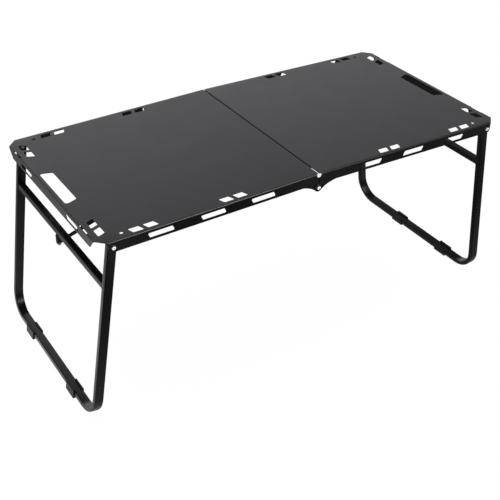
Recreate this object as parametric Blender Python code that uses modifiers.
# Folding camp table: two folded sheet halves on a centre hinge, with a bent tube leg frame under each end.
# Metres, +Z up. The origin lies on the floor below the middle of the seam, +X runs along the table.
# Each half is drawn as the right-hand one, with x outwards from the seam, and mirrored for the left.

import math

import bmesh
import bpy
from mathutils import Matrix, Vector

# Table top
HALF_LENGTH = 0.600
WIDTH = 0.565
SHEET = 0.0015
FLANGE_DEPTH = 0.0275
BEND_RADIUS = 0.003
BEND_STEPS = 3
CROWN = math.radians(0.9)
CORNER_CUT = 0.0265
LONG_FLANGE_CORNER = 0.008
END_FLANGE_SLANT = 0.020
END_FLANGE_CORNER = 0.006
FLANGE_CORNER_STEPS = 5

# Seam between the halves
SEAM_GAP = 0.0003
SEAM_EDGE = 0.001
SEAM_FLANGE_HALF_WIDTH = 0.245
NOTCH_REACH = 0.0062
NOTCH_DEPTH = 0.0115
NOTCH_STEPS = 7

# Centre hinge
PIVOT_DEPTH = 0.039
EAR_CLEARANCE = 0.0003
EAR_FOOT = 0.052
EAR_KNEE = (0.024, 0.0068)
EAR_NECK = math.radians(40)
EAR_STEPS = 6
EAR_WELD_DEPTH = 0.008
EAR_WELD_INSET = 0.0045
EAR_LAP = 0.006

# Slots in the top along the long edges
EDGE_SLOT_LENGTH = 0.028
EDGE_SLOT_WIDTH = 0.019
EDGE_SLOT_INSET = 0.021
EDGE_SLOT_SKEW = 0.007
EDGE_SLOT_PITCH = 0.038
EDGE_SLOT_PAIRS = (0.236, 0.476)
SLOT_CORNER = 0.0025
SLOT_CORNER_STEPS = 3
ROUND_HOLE = 0.009
ROUND_HOLE_X = 0.530
ROUND_HOLE_INSET = 0.0245

# Slots in the long flanges
FLANGE_SLOT_LENGTH = 0.064
FLANGE_SLOT_HEIGHT = 0.013
FLANGE_SLOT_DEPTH = 0.0145
FLANGE_SLOT_SKEW = 0.0065
FLANGE_SLOT_FIRST = 0.163
FLANGE_SLOT_PITCH = 0.139
FLANGE_SLOT_COUNT = 3

# Slots at the end of each half
END_SLOT_LENGTH = 0.028
END_SLOT_WIDTH = 0.0195
END_SLOT_INSET = 0.02925
END_SLOT_SKEW = 0.008
END_SLOT_FIRST = 0.1895
END_SLOT_PITCH = 0.038
END_FLANGE_SLOT_LENGTH = 0.066
END_FLANGE_SLOT_HEIGHT = 0.013
END_FLANGE_SLOT_DEPTH = 0.0155
END_FLANGE_SLOT_Y = 0.140
BEND_SLIT_LENGTH = 0.040
BEND_SLIT_Y = 0.201
BEND_SLIT_REACH = 0.005
BEND_SLIT_DROP = 0.0022
HANDLE_OUTER_INSET = 0.012
HANDLE_INNER_INSET = 0.0445
HANDLE_OUTER_HALF = 0.083
HANDLE_INNER_HALF = 0.072
HANDLE_CORNER = 0.007
HANDLE_CORNER_STEPS = 4

# Leg frames
LEG_AXIS_INSET = 0.038
LEG_AXIS_DEPTH = 0.01525
LEG_SPLAY = math.radians(8.4)
LEG_LENGTH = 0.516
LEG_TOP = 0.0068
LEG_TOP_CUT = 0.0035
TUBE_WIDTH = 0.025
TUBE_THICKNESS = 0.014
TUBE_CORNER = 0.003
TUBE_WALL = 0.0012
TUBE_BEND = 0.070
TUBE_BEND_STEPS = 10
SPACER_THICKNESS = 0.0044
SPACER_RADIUS = 0.008
CROSSBAR_WIDTH = 0.020
CROSSBAR_THICKNESS = 0.015
CROSSBAR_DROP = 0.107
CROSSBAR_CORNER = 0.0025

# Foot clips
FOOT_LENGTH = 0.046
FOOT_POSITIONS = {"left": (-0.138, 0.138), "right": (-0.138, 0.069)}
FOOT_SOLE = 0.0056
FOOT_INNER_WALL = 0.0015
FOOT_OUTER_WALL = 0.0035
FOOT_LIP = 0.004
FOOT_LIP_THICKNESS = 0.002
FOOT_ROUND = 0.0015

# Rivets and pins
RIVET_SHANK = 0.0035
RIVET_HEAD = 0.006
RIVET_HEAD_HEIGHT = 0.0024
RIVET_DIMPLE = 0.0022
RIVET_TAIL = 0.005
RIVET_TAIL_HEIGHT = 0.0014
ROUND_STEPS = 20
PIN_STEPS = 16

# Lock struts
STRUT_PIN_DROP = 0.145
STRUT_PIN_OUTBOARD = 0.0035
STRUT_LENGTH = 0.350
STRUT_THICKNESS = 0.005
STRUT_HEIGHT = 0.008
STRUT_EYE = 0.005
STRUT_END = 0.005
STRUT_PIN = 0.0025
STRUT_SET = -0.043
STRUT_STRAIGHT_NEAR = 0.018
STRUT_STRAIGHT_FAR = 0.024
BRACKET_SHEET = 0.0015
BRACKET_PLAY = 0.001
BRACKET_EYE = 0.005
BRACKET_SHOULDER = 0.0085
HOOK_PIN = 0.0025
HOOK_PIN_LENGTH = 0.018
CATCH_DEPTH = 0.0205
CATCH_LENGTH = 0.030
CATCH_SHEET = 0.0015
CATCH_PLAY = 0.0015
CATCH_BASE_WIDTH = 0.034
CATCH_RIM = 0.0065
CATCH_MOUTH = 0.0045

# Clearance between pieces that touch
GAP = 0.0003
CUT_PAST = 0.004

HALF_WIDTH = WIDTH / 2
FLANGE_INNER = HALF_WIDTH - SHEET
LEG_AXIS_X = HALF_LENGTH - LEG_AXIS_INSET
LEG_LEAN = LEG_SPLAY + CROWN
LEG_FOLD = math.pi / 2 + LEG_LEAN
UPRIGHT_OUTER = FLANGE_INNER - SPACER_THICKNESS - 2 * GAP
UPRIGHT_INNER = UPRIGHT_OUTER - TUBE_THICKNESS
EAR_RADIUS = PIVOT_DEPTH - FLANGE_DEPTH - EAR_CLEARANCE
BORE_RADIUS = RIVET_SHANK + GAP
PIVOT_HEIGHT = ((LEG_LENGTH + FOOT_SOLE) * math.cos(LEG_SPLAY) + LEG_AXIS_X * math.sin(CROWN)
                - (PIVOT_DEPTH - LEG_AXIS_DEPTH) * math.cos(CROWN))


def clear_scene():
    for old in list(bpy.data.objects):
        bpy.data.objects.remove(old)


def new_collection(name, hidden=False):
    group = bpy.data.collections.new(name)
    group.hide_render = hidden
    bpy.context.scene.collection.children.link(group)
    return group


def linear(channel):
    value = channel / 255
    return value / 12.92 if value <= 0.04045 else ((value + 0.055) / 1.055) ** 2.4


def material(name, colour, roughness, metallic):
    made = bpy.data.materials.new(name)
    made.use_nodes = True
    shader = made.node_tree.nodes["Principled BSDF"]
    red, green, blue = (linear(int(colour[i:i + 2], 16)) for i in (1, 3, 5))
    shader.inputs["Base Color"].default_value = (red, green, blue, 1)
    shader.inputs["Roughness"].default_value = roughness
    shader.inputs["Metallic"].default_value = metallic
    made.diffuse_color = (red, green, blue, 1)
    return made


# Outlines in a plane

def arc(centre, radius, start, end, steps):
    points = []
    for step in range(steps + 1):
        angle = start + (end - start) * step / steps
        points.append((centre[0] + radius * math.cos(angle), centre[1] + radius * math.sin(angle)))
    return points


def rounded(corners, radii, steps):
    """An outline with each corner rounded by an arc that touches both of its sides."""
    points = []
    count = len(corners)
    for index, corner in enumerate(corners):
        radius = radii[index] if isinstance(radii, (list, tuple)) else radii
        here = Vector(corner)
        before = (Vector(corners[index - 1]) - here).normalized()
        after = (Vector(corners[(index + 1) % count]) - here).normalized()
        half = before.angle(after) / 2
        if radius <= 0:
            points.append(tuple(here))
            continue
        centre = here + (before + after).normalized() * (radius / math.sin(half))
        first = here + before * (radius / math.tan(half)) - centre
        last = here + after * (radius / math.tan(half)) - centre
        start = math.atan2(first.y, first.x)
        turn = math.remainder(math.atan2(last.y, last.x) - start, 2 * math.pi)
        points += arc(centre, radius, start, start + turn, steps)
    return points


def leaning_slot(centre, length, width, skew):
    """A parallelogram slot that runs along u. Its far side in v is shifted by skew."""
    u, v = centre
    near = v - width / 2
    far = v + width / 2
    half = length / 2
    lean = skew / 2
    return rounded([(u - half - lean, near), (u + half - lean, near), (u + half + lean, far), (u - half + lean, far)],
                   SLOT_CORNER, SLOT_CORNER_STEPS)


# Meshes

def tidy(mesh, smooth_angle=None):
    shape = bmesh.new()
    shape.from_mesh(mesh)
    bmesh.ops.remove_doubles(shape, verts=shape.verts, dist=1e-6)
    bmesh.ops.recalc_face_normals(shape, faces=shape.faces)
    shape.to_mesh(mesh)
    shape.free()
    if smooth_angle is not None:
        mesh.shade_smooth()
        mesh.set_sharp_from_angle(angle=math.radians(smooth_angle))


def mesh_of_curve(name, curve, smooth_angle=None):
    holder = bpy.data.objects.new(name, curve)
    bpy.context.scene.collection.objects.link(holder)
    bpy.context.view_layer.update()
    seen = holder.evaluated_get(bpy.context.evaluated_depsgraph_get())
    mesh = bpy.data.meshes.new_from_object(seen)
    bpy.data.objects.remove(holder)
    mesh.name = name
    tidy(mesh, smooth_angle)
    return mesh


def flat_outline(name, loops):
    curve = bpy.data.curves.new(name, "CURVE")
    curve.dimensions = "2D"
    curve.fill_mode = "BOTH"
    for loop in loops:
        spline = curve.splines.new("POLY")
        spline.points.add(len(loop) - 1)
        for point, (u, v) in zip(spline.points, loop):
            point.co = (u, v, 0, 1)
        spline.use_cyclic_u = True
    return curve


def slab(name, loops, low, high, plane="XY", smooth_angle=None):
    """Outlines extruded square to their plane. XY runs up Z, XZ runs along Y and YZ runs along X."""
    curve = flat_outline(name, loops)
    curve.extrude = abs(high - low) / 2
    mesh = mesh_of_curve(name, curve, smooth_angle)
    middle = (low + high) / 2
    if plane == "XY":
        mesh.transform(Matrix.Translation((0, 0, middle)))
    elif plane == "XZ":
        mesh.transform(Matrix.Translation((0, middle, 0)) @ Matrix.Rotation(math.pi / 2, 4, "X"))
    else:
        turn = Matrix(((0, 0, 1, 0), (1, 0, 0, 0), (0, 1, 0, 0), (0, 0, 0, 1)))
        mesh.transform(Matrix.Translation((middle, 0, 0)) @ turn)
    return mesh


def sweep(name, path, profile, smooth_angle=35):
    """A closed profile carried along an open path in the YZ plane. Profile u runs along X, v in the plane."""
    section = flat_outline(name + "_section", [[(v, u) for u, v in profile]])
    section.fill_mode = "NONE"
    rail = bpy.data.objects.new(name + "_section", section)
    bpy.context.scene.collection.objects.link(rail)
    curve = bpy.data.curves.new(name, "CURVE")
    curve.dimensions = "3D"
    curve.twist_mode = "Z_UP"
    curve.bevel_mode = "OBJECT"
    curve.bevel_object = rail
    curve.use_fill_caps = True
    spline = curve.splines.new("POLY")
    spline.points.add(len(path) - 1)
    for point, (y, z) in zip(spline.points, path):
        point.co = (y, z, 0, 1)
    mesh = mesh_of_curve(name, curve, smooth_angle)
    bpy.data.objects.remove(rail)
    mesh.transform(Matrix(((0, 0, 1, 0), (1, 0, 0, 0), (0, 1, 0, 0), (0, 0, 0, 1))))
    return mesh


def turned(name, profile, steps=ROUND_STEPS):
    """A turned piece on the Y axis. The profile holds (radius, y) pairs from one end to the other."""
    mesh = bpy.data.meshes.new(name)
    shape = bmesh.new()
    corners = [shape.verts.new((radius, 0, along)) for radius, along in profile]
    for first, second in zip(corners, corners[1:]):
        shape.edges.new((first, second))
    shape.to_mesh(mesh)
    shape.free()
    holder = bpy.data.objects.new(name, mesh)
    bpy.context.scene.collection.objects.link(holder)
    screw = holder.modifiers.new("Turn", "SCREW")
    screw.steps = steps
    screw.render_steps = steps
    screw.use_merge_vertices = True
    screw.merge_threshold = 0.00001
    bpy.context.view_layer.update()
    seen = holder.evaluated_get(bpy.context.evaluated_depsgraph_get())
    made = bpy.data.meshes.new_from_object(seen)
    bpy.data.objects.remove(holder)
    bpy.data.meshes.remove(mesh)
    made.name = name
    made.transform(Matrix.Rotation(-math.pi / 2, 4, "X"))
    tidy(made, 40)
    return made


def box(name, low, high):
    mesh = bpy.data.meshes.new(name)
    shape = bmesh.new()
    bmesh.ops.create_cube(shape, size=1)
    size = [b - a for a, b in zip(low, high)]
    middle = [(a + b) / 2 for a, b in zip(low, high)]
    bmesh.ops.scale(shape, vec=size, verts=shape.verts)
    bmesh.ops.translate(shape, vec=middle, verts=shape.verts)
    shape.to_mesh(mesh)
    shape.free()
    return mesh


# Placing

class Half:
    """The frame of one half: its side, its empty on the centre hinge and the sign that mirrors x."""

    def __init__(self, side):
        self.side = side
        self.sign = 1 if side == "right" else -1
        self.top = new_empty(side + "_half", (0, 0, PIVOT_HEIGHT), self.sign * CROWN)
        self.leg = new_empty(side + "_leg", (self.sign * LEG_AXIS_X, 0, PIVOT_DEPTH - LEG_AXIS_DEPTH),
                             -self.sign * LEG_LEAN, self.top)
        self.strut = new_empty(side + "_strut_pivot", (self.sign * STRUT_PIN_OUTBOARD, 0, -STRUT_PIN_DROP),
                               self.sign * (LEG_LEAN + strut_angle()), self.leg)

    def place(self, mesh, parent, look=None, name=None):
        if self.sign < 0:
            mesh.transform(Matrix.Scale(-1, 4, (1, 0, 0)))
            mesh.flip_normals()
        made = bpy.data.objects.new(name or mesh.name, mesh)
        made.parent = parent
        if look is None:
            made.display_type = "WIRE"
            made.hide_render = True
            CUTTERS.objects.link(made)
        else:
            mesh.materials.append(look)
            PARTS.objects.link(made)
        return made


def new_empty(name, location, turn, parent=None):
    empty = bpy.data.objects.new(name, None)
    empty.location = location
    empty.rotation_euler = (0, turn, 0)
    empty.empty_display_size = 0.05
    empty.parent = parent
    PARTS.objects.link(empty)
    return empty


def combine(target, operand, operation):
    change = target.modifiers.new(operand.name, "BOOLEAN")
    change.operation = operation
    change.object = operand
    change.solver = "EXACT"


def below_top(depth):
    return PIVOT_DEPTH - depth


# Geometry of the lock strut

def strut_pin():
    """The strut's pivot in the frame of its half, seen from the side as (x, z)."""
    x = LEG_AXIS_X + STRUT_PIN_DROP * math.sin(LEG_LEAN) + STRUT_PIN_OUTBOARD * math.cos(LEG_LEAN)
    z = below_top(LEG_AXIS_DEPTH) - STRUT_PIN_DROP * math.cos(LEG_LEAN) + STRUT_PIN_OUTBOARD * math.sin(LEG_LEAN)
    return x, z


def strut_angle():
    """How far the strut rises from its half's plane at rest, so that its hook lies at the catch's depth."""
    return math.asin((below_top(CATCH_DEPTH) - strut_pin()[1]) / STRUT_LENGTH)


def hook_rest():
    x, z = strut_pin()
    return x - STRUT_LENGTH * math.cos(strut_angle()), z + STRUT_LENGTH * math.sin(strut_angle())


def hook_way():
    """The direction in which the hook leaves its catch as the leg starts to fold."""
    pin_x, pin_z = strut_pin()
    reach = (pin_x - LEG_AXIS_X, pin_z - below_top(LEG_AXIS_DEPTH))
    swing = strut_angle() / LEG_FOLD
    x = reach[1] - STRUT_LENGTH * math.sin(strut_angle()) * swing
    z = -reach[0] - STRUT_LENGTH * math.cos(strut_angle()) * swing
    return math.atan2(z, x)


# Table top

def top_shell(name, ear):
    """The bent sheet before it is cut: a tray that is open below and at the seam."""
    start = -EAR_RADIUS - CUT_PAST if ear else SEAM_EDGE - CUT_PAST
    depth = PIVOT_DEPTH + EAR_RADIUS + CUT_PAST if ear else FLANGE_DEPTH + CUT_PAST
    mesh = box(name, (start, -HALF_WIDTH, below_top(depth)), (HALF_LENGTH, HALF_WIDTH, below_top(0)))
    shape = bmesh.new()
    shape.from_mesh(mesh)
    shape.normal_update()
    open_sides = [face for face in shape.faces if face.normal.z < -0.5 or face.normal.x < -0.5]
    bmesh.ops.delete(shape, geom=open_sides, context="FACES")
    shape.to_mesh(mesh)
    shape.free()
    return mesh


def ear_flank():
    """The hollow flank of an ear, from the flange's lower edge to the disc round the pivot."""
    start = Vector((EAR_FOOT, below_top(FLANGE_DEPTH)))
    knee = Vector(EAR_KNEE)
    end = Vector((EAR_RADIUS * math.cos(EAR_NECK), -EAR_RADIUS * math.sin(EAR_NECK)))
    points = []
    for step in range(EAR_STEPS):
        share = step / EAR_STEPS
        points.append(tuple(start * (1 - share) ** 2 + knee * 2 * share * (1 - share) + end * share ** 2))
    return points


def ear_disc(end=-1.5 * math.pi):
    """The disc's edge from the flank round below the pivot, as a rule to its highest point."""
    return arc((0, 0), EAR_RADIUS, -EAR_NECK, end, 3 * EAR_STEPS)


def side_outline(ear):
    """The half seen from the front, with the hinge ear at its seam end where the flange carries it."""
    bottom = below_top(FLANGE_DEPTH)
    top = below_top(0) + CUT_PAST
    far = HALF_LENGTH + CUT_PAST
    points = [(SEAM_EDGE, top), (far, top), (far, bottom)]
    if ear:
        points += ear_flank() + ear_disc() + [(SEAM_EDGE, EAR_RADIUS)]
    else:
        points.append((SEAM_EDGE, bottom))
    return points[::-1]


def circle(centre, radius, steps=ROUND_STEPS):
    return arc(centre, radius, 0, 2 * math.pi * (1 - 1 / steps), steps - 1)


def mirrored(loop):
    return [(u, -v) for u, v in loop][::-1]


def both_sides(loops):
    return loops + [mirrored(loop) for loop in loops]


def top_openings():
    """Slots and holes in the plate: pairs along the long edges, pairs at the end and the handle slot."""
    loops = []
    for middle in EDGE_SLOT_PAIRS:
        for offset in (-0.5, 0.5):
            centre = (middle + offset * EDGE_SLOT_PITCH, HALF_WIDTH - EDGE_SLOT_INSET)
            loops.append(leaning_slot(centre, EDGE_SLOT_LENGTH, EDGE_SLOT_WIDTH, -EDGE_SLOT_SKEW))
    loops.append(circle((ROUND_HOLE_X, HALF_WIDTH - ROUND_HOLE_INSET), ROUND_HOLE / 2, PIN_STEPS))
    for count in range(2):
        centre = (END_SLOT_FIRST + count * END_SLOT_PITCH, HALF_LENGTH - END_SLOT_INSET)
        slot = leaning_slot(centre, END_SLOT_LENGTH, END_SLOT_WIDTH, END_SLOT_SKEW)
        loops.append([(u, v) for v, u in slot][::-1])
    outer = HALF_LENGTH - HANDLE_OUTER_INSET
    inner = HALF_LENGTH - HANDLE_INNER_INSET
    handle = [(inner, -HANDLE_INNER_HALF), (outer, -HANDLE_OUTER_HALF),
              (outer, HANDLE_OUTER_HALF), (inner, HANDLE_INNER_HALF)]
    return both_sides(loops) + [rounded(handle, HANDLE_CORNER, HANDLE_CORNER_STEPS)]


def flange_openings():
    """Slots in both long flanges, with the bores of the leg hinge and the centre hinge."""
    loops = []
    for count in range(FLANGE_SLOT_COUNT):
        centre = (FLANGE_SLOT_FIRST + count * FLANGE_SLOT_PITCH, below_top(FLANGE_SLOT_DEPTH))
        loops.append(leaning_slot(centre, FLANGE_SLOT_LENGTH, FLANGE_SLOT_HEIGHT, FLANGE_SLOT_SKEW))
    loops.append(circle((LEG_AXIS_X, below_top(LEG_AXIS_DEPTH)), BORE_RADIUS))
    loops.append(circle((0, 0), BORE_RADIUS))
    return loops


def end_openings():
    """Slots in the end flange, drawn with u along Y and v up."""
    slot = leaning_slot((END_FLANGE_SLOT_Y, below_top(END_FLANGE_SLOT_DEPTH)), END_FLANGE_SLOT_LENGTH,
                        END_FLANGE_SLOT_HEIGHT, -END_SLOT_SKEW)
    return [slot, [(-u, v) for u, v in slot][::-1]]


def bend_slits():
    """Slits along the bend at the end, one beside each pair of end slots."""
    inner = HALF_LENGTH - BEND_SLIT_REACH
    outer = HALF_LENGTH + CUT_PAST
    low = BEND_SLIT_Y - BEND_SLIT_LENGTH / 2
    high = BEND_SLIT_Y + BEND_SLIT_LENGTH / 2
    return both_sides([[(inner, low), (outer, low), (outer, high), (inner, high)]])


def corner_cuts():
    """The sheet's outer corners, cut off at 45 degrees through the plate and both flanges."""
    edge = HALF_LENGTH + CUT_PAST
    side = HALF_WIDTH + CUT_PAST
    reach = CORNER_CUT + 2 * CUT_PAST
    return both_sides([[(edge, side - reach), (edge, side), (edge - reach, side)]])


def slanted_end():
    """What is cut from the end flange beyond its slanted end, with u along Y and v up."""
    bottom = below_top(FLANGE_DEPTH)
    past = HALF_WIDTH + CUT_PAST
    start = (HALF_WIDTH - CORNER_CUT, below_top(BEND_RADIUS))
    foot = (start[0] - END_FLANGE_SLANT, bottom)
    edge = rounded([start, foot, (0, bottom)], [0, END_FLANGE_CORNER, 0], FLANGE_CORNER_STEPS)[:-1]
    return edge + [(edge[-1][0], bottom - CUT_PAST), (past, bottom - CUT_PAST), (past, start[1])]


def lower_corner(end, radius):
    """What is cut from a flange's lower corner, so that it is rounded."""
    bottom = below_top(FLANGE_DEPTH)
    edge = arc((end - radius, bottom + radius), radius, -math.pi / 2, 0, FLANGE_CORNER_STEPS)
    return edge + [(end + CUT_PAST, bottom + radius), (end + CUT_PAST, bottom - CUT_PAST),
                   (end - radius, bottom - CUT_PAST)]


def seam_notch():
    """What is cut from the plate's and the flange's corner at the seam: half of a rounded notch."""
    top = below_top(0)
    points = []
    for step in range(NOTCH_STEPS + 1):
        turn = math.pi / 2 * step / NOTCH_STEPS
        points.append((SEAM_EDGE + (NOTCH_REACH - SEAM_EDGE) * math.cos(turn), top - NOTCH_DEPTH * math.sin(turn)))
    return points + [(-CUT_PAST, top - NOTCH_DEPTH), (-CUT_PAST, top + CUT_PAST), (NOTCH_REACH, top + CUT_PAST)]


def seam_flange():
    """The bend and the flange at the seam, seen from the front."""
    face = SEAM_GAP / 2
    top = below_top(0)
    bottom = below_top(FLANGE_DEPTH)
    centre = (face + BEND_RADIUS, top - BEND_RADIUS)
    lap = centre[0] + SHEET
    outer = arc(centre, BEND_RADIUS, math.pi / 2, math.pi, BEND_STEPS)
    inner = arc(centre, BEND_RADIUS - SHEET, math.pi, math.pi / 2, BEND_STEPS)
    return [(lap, top)] + outer + [(face, bottom), (face + SHEET, bottom)] + inner + [(lap, top - SHEET)]


def add_inner_ears(half, panel):
    """Ears for the half whose hinge plates lie inside: a plate welded to each flange's inner face.
    It laps over the seam below the notch, so that the gap between the two flanges is closed."""
    face = FLANGE_INNER - GAP
    bottom = below_top(FLANGE_DEPTH)
    weld_top = below_top(EAR_WELD_DEPTH)
    lap_top = below_top(NOTCH_DEPTH)
    start = SEAM_EDGE + EAR_WELD_INSET
    disc = ear_disc(-math.pi - math.acos(EAR_LAP / EAR_RADIUS))
    plate = ([(start, weld_top), (EAR_FOOT, weld_top)] + ear_flank() + disc
             + [(-EAR_LAP, lap_top), (start, lap_top)])[::-1]
    weld = [(start, bottom), (EAR_FOOT, bottom), (EAR_FOOT, weld_top), (start, weld_top)]
    for end, sign in (("front", -1), ("back", 1)):
        ear = slab(f"{half.side}_{end}_ear", [plate], sign * (face - SHEET), sign * face, "XZ")
        combine(panel, half.place(ear, half.top), "UNION")
        pad = slab(f"{half.side}_{end}_ear_weld", [weld], sign * (face - SHEET), sign * (face + SHEET / 2), "XZ")
        combine(panel, half.place(pad, half.top), "UNION")


def build_top(half):
    """One half of the table top: a single sheet with bent flanges, slots, handle slot and hinge ears."""
    outside_ears = half.side == "right"
    panel = half.place(top_shell(half.side + "_top_panel", outside_ears), half.top, COATED_STEEL)
    bevel = panel.modifiers.new("Bends", "BEVEL")
    bevel.width = BEND_RADIUS
    bevel.segments = BEND_STEPS
    bevel.limit_method = "ANGLE"
    shell = panel.modifiers.new("Sheet", "SOLIDIFY")
    shell.thickness = SHEET
    shell.offset = -1
    shell.use_even_offset = True

    def cutter(name, mesh, operation="DIFFERENCE"):
        mesh.name = f"{half.side}_{name}"
        combine(panel, half.place(mesh, half.top, name=mesh.name), operation)

    past_side = HALF_WIDTH + CUT_PAST
    above = below_top(-CUT_PAST)
    below = below_top(PIVOT_DEPTH + EAR_RADIUS + 2 * CUT_PAST)
    under_plate = below_top(SHEET + CUT_PAST)
    cutter("side_profile", slab("side", [side_outline(outside_ears)], -past_side, past_side, "XZ"), "INTERSECT")
    cutter("corner_cuts", slab("corners", corner_cuts(), below, above))
    cutter("top_openings", slab("slots", top_openings(), under_plate, above))
    cutter("bend_slits", slab("slits", bend_slits(), below_top(BEND_SLIT_DROP), above))
    end = HALF_LENGTH - CORNER_CUT
    cutter("long_flange_corners", slab("corner", [lower_corner(end, LONG_FLANGE_CORNER)], -past_side, past_side, "XZ"))
    end_corner = slanted_end()
    end_corners = [end_corner, [(-u, v) for u, v in end_corner][::-1]]
    cutter("end_flange_corners", slab("corner", end_corners, HALF_LENGTH - SHEET - CUT_PAST,
                                      HALF_LENGTH + CUT_PAST, "YZ"))
    cutter("end_openings", slab("slots", end_openings(), HALF_LENGTH - SHEET - CUT_PAST,
                                HALF_LENGTH + CUT_PAST, "YZ"))
    for name, sign in (("front_notch", -1), ("back_notch", 1)):
        inside = sign * (HALF_WIDTH - BEND_RADIUS)
        cutter(name, slab(name, [seam_notch()], inside, sign * past_side, "XZ"))
    plate_cut = box("seam_cut", (-CUT_PAST, -SEAM_FLANGE_HALF_WIDTH, under_plate),
                    (SEAM_GAP / 2 + BEND_RADIUS, SEAM_FLANGE_HALF_WIDTH, above))
    cutter("seam_cut", plate_cut)
    cutter("seam_flange", slab("flange", [seam_flange()], -SEAM_FLANGE_HALF_WIDTH, SEAM_FLANGE_HALF_WIDTH, "XZ"),
           "UNION")
    if not outside_ears:
        add_inner_ears(half, panel)
    cutter("flange_openings", slab("slots", flange_openings(), -past_side, past_side, "XZ"))


# Rivets and spacers

def rivet(name, seat, grip):
    """A semi-tubular rivet along Y: domed head with its hollow end outside, and a flat tail inside."""
    height = RIVET_HEAD_HEIGHT
    profile = [(0, seat + height / 2), (RIVET_DIMPLE * 0.8, seat + height / 2), (RIVET_DIMPLE, seat + height),
               (RIVET_HEAD * 0.7, seat + height), (RIVET_HEAD * 0.92, seat + height * 0.65),
               (RIVET_HEAD, seat + height * 0.2), (RIVET_HEAD, seat), (RIVET_SHANK, seat),
               (RIVET_SHANK, seat - grip), (RIVET_TAIL, seat - grip),
               (RIVET_TAIL * 0.9, seat - grip - RIVET_TAIL_HEIGHT), (0, seat - grip - RIVET_TAIL_HEIGHT)]
    return turned(name, profile)


def to_front(mesh, front):
    if front:
        mesh.transform(Matrix.Scale(-1, 4, (0, 1, 0)))
        mesh.flip_normals()
    return mesh


def build_centre_rivets(half):
    seat = HALF_WIDTH + GAP
    grip = seat - (FLANGE_INNER - SHEET - 2 * GAP)
    for end in ("front", "back"):
        mesh = to_front(rivet(f"{end}_centre_rivet", seat, grip), end == "front")
        half.place(mesh, half.top, ZINC)


def build_leg_hinges(half):
    """Each leg hinge: a rivet through the flange and the upright, with a spacer between them."""
    seat = HALF_WIDTH + GAP
    grip = seat - (UPRIGHT_INNER - GAP)
    ring = [circle((0, 0), SPACER_RADIUS), circle((0, 0), BORE_RADIUS)]
    centre = Matrix.Translation((LEG_AXIS_X, 0, below_top(LEG_AXIS_DEPTH)))
    for end, sign in (("front", -1), ("back", 1)):
        shank = to_front(rivet(f"{half.side}_{end}_leg_rivet", seat, grip), end == "front")
        shank.transform(centre)
        half.place(shank, half.top, ZINC)
        spacer = slab(f"{half.side}_{end}_leg_spacer", ring, sign * (UPRIGHT_OUTER + GAP),
                      sign * (FLANGE_INNER - GAP), "XZ", 40)
        half.place(spacer, half.leg, NYLON)


# Leg frames

def block(width, height, corner, steps=2):
    u = width / 2
    v = height / 2
    return rounded([(-u, -v), (u, -v), (u, v), (-u, v)], corner, steps)


def leg_path(past):
    """The middle of the tube, down one upright, along the floor rail and up the other."""
    side = UPRIGHT_OUTER - TUBE_THICKNESS / 2
    floor = -(LEG_LENGTH - TUBE_THICKNESS / 2)
    radius = TUBE_BEND - TUBE_THICKNESS / 2
    front = arc((radius - side, floor + radius), radius, math.pi, 1.5 * math.pi, TUBE_BEND_STEPS)
    back = arc((side - radius, floor + radius), radius, 1.5 * math.pi, 2 * math.pi, TUBE_BEND_STEPS)
    return [(-side, LEG_TOP + past)] + front + back + [(side, LEG_TOP + past)]


def leg_end_corners():
    """What is cut from an upright's two upper corners, so that it turns clear of the plate."""
    side = TUBE_WIDTH / 2 + CUT_PAST
    top = LEG_TOP + CUT_PAST
    reach = LEG_TOP_CUT + 2 * CUT_PAST
    return [[(sign * side, top - reach), (sign * side, top), (sign * (side - reach), top)] for sign in (-1, 1)]


def build_leg_frame(half):
    """A flat tube bent to a U. Its open ends carry the leg hinges and the middle lies on the floor."""
    tube = sweep(half.side + "_leg_frame", leg_path(0), block(TUBE_WIDTH, TUBE_THICKNESS, TUBE_CORNER))
    frame = half.place(tube, half.leg, COATED_TUBE)
    hollow = block(TUBE_WIDTH - 2 * TUBE_WALL, TUBE_THICKNESS - 2 * TUBE_WALL, TUBE_CORNER - TUBE_WALL)
    bore = sweep(half.side + "_leg_hollow", leg_path(CUT_PAST), hollow)
    combine(frame, half.place(bore, half.leg), "DIFFERENCE")
    trimmed = [circle((0, 0), BORE_RADIUS)] + leg_end_corners()
    axle = slab(half.side + "_leg_bore", trimmed, -HALF_WIDTH, HALF_WIDTH, "XZ")
    combine(frame, half.place(axle, half.leg), "DIFFERENCE")


def build_crossbar(half):
    """A flat tube between the uprights, below the hinge, with its open ends against their inner faces."""
    middle = -(CROSSBAR_DROP + CROSSBAR_THICKNESS / 2)
    outside = block(CROSSBAR_WIDTH, CROSSBAR_THICKNESS, CROSSBAR_CORNER)
    inside = block(CROSSBAR_WIDTH - 2 * TUBE_WALL, CROSSBAR_THICKNESS - 2 * TUBE_WALL, CROSSBAR_CORNER - TUBE_WALL)
    loops = [[(u, v + middle) for u, v in loop] for loop in (outside, inside)]
    reach = UPRIGHT_INNER - GAP
    half.place(slab(half.side + "_crossbar", loops, -reach, reach, "XZ", 35), half.leg, COATED_TUBE)


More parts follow.
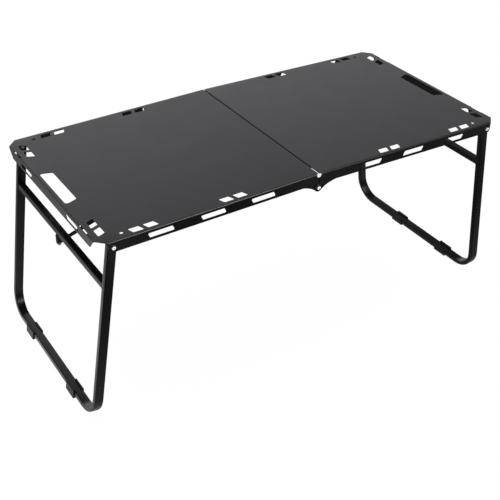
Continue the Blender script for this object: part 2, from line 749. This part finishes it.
def foot_outline():
    """A clip round the floor rail, open above, with its sole cut level with the floor."""
    side = TUBE_WIDTH / 2 + GAP
    low = -(LEG_LENGTH + GAP)
    high = -(LEG_LENGTH - TUBE_THICKNESS - GAP)
    lip = high + FOOT_LIP_THICKNESS
    inner = -side - FOOT_INNER_WALL
    outer = side + FOOT_OUTER_WALL
    sole = -(LEG_LENGTH + FOOT_SOLE)
    slope = math.tan(LEG_SPLAY)
    corners = [(inner, sole - inner * slope), (outer, sole - outer * slope), (outer, lip),
               (side - FOOT_LIP, lip), (side - FOOT_LIP, high), (side, high), (side, low),
               (-side, low), (-side, high), (FOOT_LIP - side, high), (FOOT_LIP - side, lip), (inner, lip)]
    radii = [FOOT_ROUND, FOOT_ROUND, FOOT_ROUND] + [0] * 8 + [FOOT_ROUND]
    return rounded(corners, radii, 3)


def build_feet(half):
    for end, middle in zip(("front", "back"), FOOT_POSITIONS[half.side]):
        clip = slab(f"{half.side}_{end}_foot", [foot_outline()], middle - FOOT_LENGTH / 2,
                    middle + FOOT_LENGTH / 2, "XZ", 35)
        half.place(clip, half.leg, FOOT_PLASTIC)


# Lock struts

def strut_outline():
    """A bar with a round eye at each end, seen from the side and drawn from its pivot towards -x."""
    neck = math.asin(STRUT_HEIGHT / 2 / STRUT_EYE)
    near = arc((0, 0), STRUT_EYE, neck - math.pi, math.pi - neck, 16)
    far_neck = math.asin(STRUT_HEIGHT / 2 / STRUT_END)
    far = arc((-STRUT_LENGTH, 0), STRUT_END, far_neck, 2 * math.pi - far_neck, 12)
    return near + far


def strut_plan():
    """The bar seen from above its flat side: it is set over to one side between its two straight ends."""
    half = STRUT_THICKNESS / 2
    middle = [(STRUT_EYE + CUT_PAST, 0), (-STRUT_STRAIGHT_NEAR, 0),
              (STRUT_STRAIGHT_FAR - STRUT_LENGTH, STRUT_SET), (-STRUT_LENGTH - STRUT_END - CUT_PAST, STRUT_SET)]
    return [(x, y - half) for x, y in middle] + [(x, y + half) for x, y in middle[::-1]]


def build_strut(half):
    holes = [circle((0, 0), STRUT_PIN + GAP, PIN_STEPS), circle((-STRUT_LENGTH, 0), HOOK_PIN + GAP, PIN_STEPS)]
    width = abs(STRUT_SET) + STRUT_THICKNESS
    bar = half.place(slab(half.side + "_lock_strut", [strut_outline()] + holes, -width, width, "XZ", 35),
                     half.strut, COATED_TUBE)
    plan = slab(half.side + "_strut_plan", [strut_plan()[::-1]], -STRUT_HEIGHT, STRUT_HEIGHT)
    combine(bar, half.place(plan, half.strut), "INTERSECT")
    reach = HOOK_PIN_LENGTH / 2
    chamfer = HOOK_PIN / 5
    pin = turned(half.side + "_strut_hook_pin", [(0, reach), (HOOK_PIN - chamfer, reach), (HOOK_PIN, reach - chamfer),
                                                 (HOOK_PIN, chamfer - reach), (HOOK_PIN - chamfer, -reach),
                                                 (0, -reach)], PIN_STEPS)
    pin.transform(Matrix.Translation((-STRUT_LENGTH, STRUT_SET, 0)))
    half.place(pin, half.strut, ZINC)


def build_bracket(half):
    """A folded bracket below the crossbar with the strut's pivot pin through its two cheeks."""
    top = -(CROSSBAR_DROP + CROSSBAR_THICKNESS + GAP)
    pin = (STRUT_PIN_OUTBOARD, -STRUT_PIN_DROP)
    left = pin[0] - BRACKET_SHOULDER
    right = pin[0] + BRACKET_SHOULDER
    taper = math.atan((BRACKET_SHOULDER - BRACKET_EYE) / (top - pin[1]))
    outline = [(left, top)] + arc(pin, BRACKET_EYE, math.pi + taper, 2 * math.pi - taper, 12) + [(right, top)]
    inner = STRUT_THICKNESS / 2 + BRACKET_PLAY
    outer = inner + BRACKET_SHEET
    bore = circle(pin, STRUT_PIN + GAP, PIN_STEPS)
    bracket = half.place(slab(half.side + "_strut_bracket", [outline, bore], -outer, outer, "XZ"),
                         half.leg, COATED_TUBE)
    slot = box(half.side + "_bracket_slot", (left - CUT_PAST, -inner, pin[1] - BRACKET_EYE - CUT_PAST),
               (right + CUT_PAST, inner, top - BRACKET_SHEET))
    combine(bracket, half.place(slot, half.leg), "DIFFERENCE")
    seat = outer + GAP
    head = STRUT_PIN * 1.7
    rise = STRUT_PIN * 0.5
    shank = turned(half.side + "_strut_pin", [(0, seat + rise), (head * 0.8, seat + rise), (head, seat + rise / 3),
                                              (head, seat), (STRUT_PIN, seat), (STRUT_PIN, -seat), (head, -seat),
                                              (head, -seat - rise / 3), (head * 0.8, -seat - rise),
                                              (0, -seat - rise)], PIN_STEPS)
    shank.transform(Matrix.Translation((pin[0], 0, pin[1])))
    half.place(shank, half.leg, ZINC)


def build_catch(half):
    """A welded channel under the top. Its cheeks have open notches that hold the strut's hook pin."""
    middle = STRUT_SET
    hook_x, hook_z = hook_rest()
    top = below_top(SHEET + GAP)
    low = hook_z - CATCH_RIM
    left = hook_x - CATCH_LENGTH / 2
    right = hook_x + CATCH_LENGTH / 2
    inner = STRUT_THICKNESS / 2 + CATCH_PLAY
    outer = inner + CATCH_SHEET
    corner = CATCH_SHEET * 2
    outline = rounded([(left, low), (right, low), (right, top), (left, top)], [corner, corner, 0, 0], 3)
    catch = half.place(slab(half.side + "_strut_catch", [outline], middle - outer, middle + outer, "XZ"),
                       half.top, COATED_TUBE)
    base = box(half.side + "_catch_base", (left, middle - CATCH_BASE_WIDTH / 2, top - CATCH_SHEET),
               (right, middle + CATCH_BASE_WIDTH / 2, top))
    combine(catch, half.place(base, half.top), "UNION")
    channel = box(half.side + "_catch_channel", (left - CUT_PAST, middle - inner, low - CUT_PAST),
                  (right + CUT_PAST, middle + inner, top - CATCH_SHEET))
    combine(catch, half.place(channel, half.top), "DIFFERENCE")
    way = hook_way()
    seat = HOOK_PIN + GAP
    closed = arc((hook_x, hook_z), seat, way + math.pi / 2, way + 1.5 * math.pi, 8)
    ahead = CATCH_LENGTH
    mouth = []
    for side in (-1, 1):
        mouth.append((hook_x + ahead * math.cos(way) - side * CATCH_MOUTH * math.sin(way),
                      hook_z + ahead * math.sin(way) + side * CATCH_MOUTH * math.cos(way)))
    notch = slab(half.side + "_catch_notch", [closed + mouth], middle - CATCH_BASE_WIDTH,
                 middle + CATCH_BASE_WIDTH, "XZ")
    combine(catch, half.place(notch, half.top), "DIFFERENCE")


clear_scene()
PARTS = new_collection("folding_camp_table")
CUTTERS = new_collection("cutters", hidden=True)
COATED_STEEL = material("powder_coated_sheet", "#454547", 0.5, 0.0)
COATED_TUBE = material("powder_coated_tube", "#2A2A2B", 0.45, 0.0)
ZINC = material("zinc_plated_steel", "#C4C6C8", 0.35, 1.0)
NYLON = material("black_nylon", "#1C1C1D", 0.6, 0.0)
FOOT_PLASTIC = material("black_foot_plastic", "#161617", 0.55, 0.0)

for side in ("left", "right"):
    half = Half(side)
    build_top(half)
    build_leg_hinges(half)
    build_leg_frame(half)
    build_crossbar(half)
    build_feet(half)
    build_bracket(half)
    build_strut(half)
    build_catch(half)
    if side == "left":
        build_centre_rivets(half)
